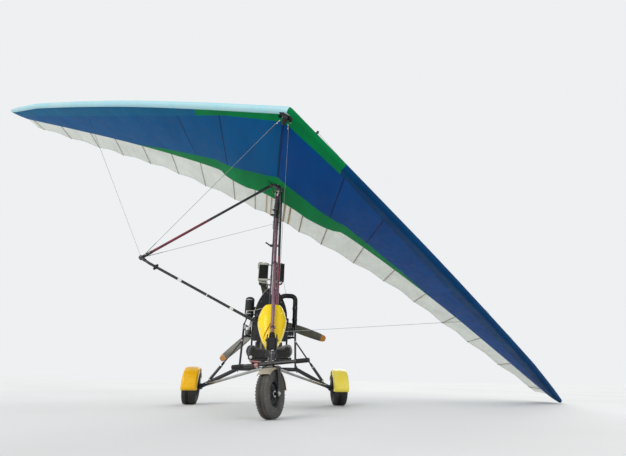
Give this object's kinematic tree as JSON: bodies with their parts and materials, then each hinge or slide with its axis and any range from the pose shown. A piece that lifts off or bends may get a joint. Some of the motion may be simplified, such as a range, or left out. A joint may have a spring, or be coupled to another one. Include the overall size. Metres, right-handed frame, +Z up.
{
  "type": "microlight trike",
  "caption": "Flex-wing microlight trike with a tandem seat, pusher engine and a fabric wing that is parked rolled over onto one tip.",
  "frame": {"origin": "on the ground, under the middle of the whole aircraft's plan box", "axes": "+X towards the pilot's left across the span, +Y aft, +Z up"},
  "size_m": [8.8537, 3.5828, 4.5198],
  "materials": {
    "black_tube": "satin",
    "silver_tube": "satin",
    "dark_bracket": "satin",
    "tyre": "matte",
    "rim": "satin",
    "yellow_shell": "gloss",
    "mudguard": "matte",
    "seat_cloth": "woven",
    "panel_sheet": "grained",
    "engine_cast": "cast",
    "engine_head": "cast",
    "exhaust_steel": "sooty",
    "filter_rubber": "matte",
    "tank_plastic": "matte",
    "radiator_core": "matte",
    "propeller_wood": "varnished",
    "hub_metal": "machined",
    "sail_upper": "sailcloth",
    "sail_under": "sailcloth",
    "stay_wire": "plastic coated",
    "bar_grip": "matte"
  },
  "bodies": {
    "trike": {"beam": "black_tube", "axle_tube": "black_tube", "gear_leg_left": "black_tube", "gear_leg_right": "black_tube", "drag_strut_left": "silver_tube", "drag_strut_right": "silver_tube", "shock_struts": "black_tube", "spat_left": "yellow_shell", "spat_right": "yellow_shell", "mast": "black_tube", "mast_bracket": "dark_bracket", "front_strut": "black_tube", "strut_bracket": "dark_bracket", "seat_frame": "black_tube", "seat_cushion": "seat_cloth", "seat_back": "seat_cloth", "back_panel": "panel_sheet", "pod": "yellow_shell", "engine_frame": "black_tube", "crankcase": "engine_cast", "cylinders": "engine_head", "gearbox": "engine_cast", "exhaust": "exhaust_steel", "airbox": "filter_rubber", "carburettors": "hub_metal", "radiators": "radiator_core", "fuel_tank": "tank_plastic"},
    "steering": {"fork": "black_tube", "foot_bar": "black_tube", "front_mudguard": "mudguard"},
    "front_wheel": {"tyre_front": "tyre", "rim_front": "rim"},
    "rear_wheel_left": {"tyre_rear_left": "tyre", "rim_rear_left": "rim"},
    "rear_wheel_right": {"tyre_rear_right": "tyre", "rim_rear_right": "rim"},
    "propeller": {"prop_hub": "hub_metal", "prop_blades": "propeller_wood"},
    "hang_block": {"hang_bracket": "hub_metal"},
    "wing": {"keel_tube": "silver_tube", "nose_plate": "dark_bracket", "leading_edge_left": "silver_tube", "leading_edge_right": "silver_tube", "sail_upper_left": "sail_upper", "sail_upper_right": "sail_upper", "sail_under_left": "sail_under", "sail_under_right": "sail_under", "kingpost": "bar_grip", "apex_bracket": "dark_bracket", "upright_left": "bar_grip", "upright_right": "bar_grip", "base_bar": "bar_grip", "corner_fittings": "dark_bracket", "front_stays": "stay_wire", "side_stays": "stay_wire", "rear_stays": "stay_wire", "upper_stays": "stay_wire"}
  },
  "joints": [
    {"name": "steering", "type": "hinge", "parent": "trike", "child": "steering", "pos_m": [0.05242, -1.50508, 0.37409], "axis": [0, 0.1736, 0.9848], "range_deg": [-7, 63]},
    {"name": "front_wheel_spin", "type": "hinge", "parent": "steering", "child": "front_wheel", "pos_m": [0.05242, -1.54039, 0.17387], "axis": [0.8829, -0.4623, 0.0815], "continuous": true},
    {"name": "rear_wheel_left_spin", "type": "hinge", "parent": "trike", "child": "rear_wheel_left", "pos_m": [0.91242, 0.16961, 0.19], "axis": [1, 0, 0], "continuous": true},
    {"name": "rear_wheel_right_spin", "type": "hinge", "parent": "trike", "child": "rear_wheel_right", "pos_m": [-0.80758, 0.16961, 0.19], "axis": [1, 0, 0], "continuous": true},
    {"name": "propeller_spin", "type": "hinge", "parent": "trike", "child": "propeller", "pos_m": [0.05242, 0.60961, 1.038], "axis": [0, 1, 0], "continuous": true},
    {"name": "wing_pitch", "type": "hinge", "parent": "trike", "child": "hang_block", "pos_m": [0.05242, -0.44578, 2.40514], "axis": [1, 0, 0], "range_deg": [0, 9]},
    {"name": "wing_roll", "type": "hinge", "parent": "hang_block", "child": "wing", "pos_m": [0.05242, -0.44139, 2.475], "axis": [0, -0.998, 0.0628], "range_deg": [0, 53.21]}
  ]
}
